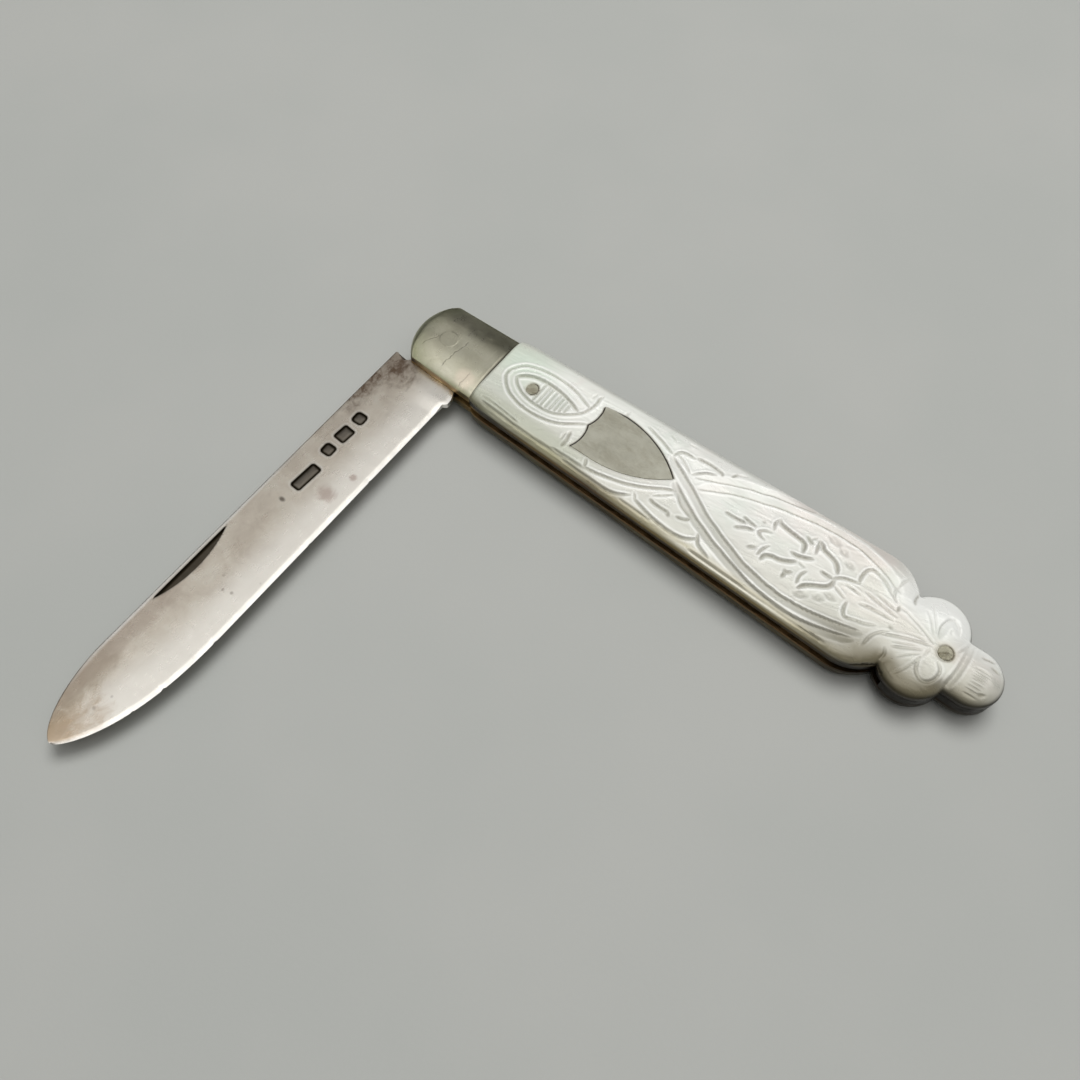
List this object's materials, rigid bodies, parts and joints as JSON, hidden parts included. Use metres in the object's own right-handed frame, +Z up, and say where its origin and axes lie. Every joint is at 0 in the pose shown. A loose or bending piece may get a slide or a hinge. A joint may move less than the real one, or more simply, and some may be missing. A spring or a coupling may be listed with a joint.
{
  "type": "folding fruit knife",
  "caption": "Small slip-joint fruit knife with carved mother-of-pearl scales, plain bolsters, inlaid shield and lobed butt, blade at half stop.",
  "frame": {"origin": "on the underside of the rear bolster, below the middle of the pivot pin", "axes": "+X from the pivot along the handle to the butt, +Y to the handle's back where the spring is, +Z up through the front scale; at rest the blade points along -Y with its back towards -X"},
  "size_m": [0.0814, 0.0725, 0.0056],
  "materials": {
    "silver": "satin",
    "spring_steel": "satin",
    "liner_metal": "satin",
    "bolster_metal": "satin",
    "mother_of_pearl": "gloss",
    "shield_metal": "satin",
    "pin_metal": "satin"
  },
  "bodies": {
    "handle": {"backspring": "spring_steel", "front_liner": "liner_metal", "rear_liner": "liner_metal", "front_bolster": "bolster_metal", "rear_bolster": "bolster_metal", "front_scale": "mother_of_pearl", "rear_scale": "mother_of_pearl", "shield": "shield_metal", "shield_pin_left": "pin_metal", "shield_pin_right": "pin_metal", "pivot_pin": "pin_metal", "spring_pin": "pin_metal", "tail_pin": "pin_metal", "front_scale_pin": "pin_metal", "rear_scale_pin": "pin_metal"},
    "blade": {"blade": "silver"}
  },
  "joints": [
    {"name": "blade_pivot", "type": "hinge", "parent": "handle", "child": "blade", "pos_m": [0, 0, 0.0028], "axis": [0, 0, -1], "range_deg": [-87, 90], "deforming": ["backspring"]}
  ]
}
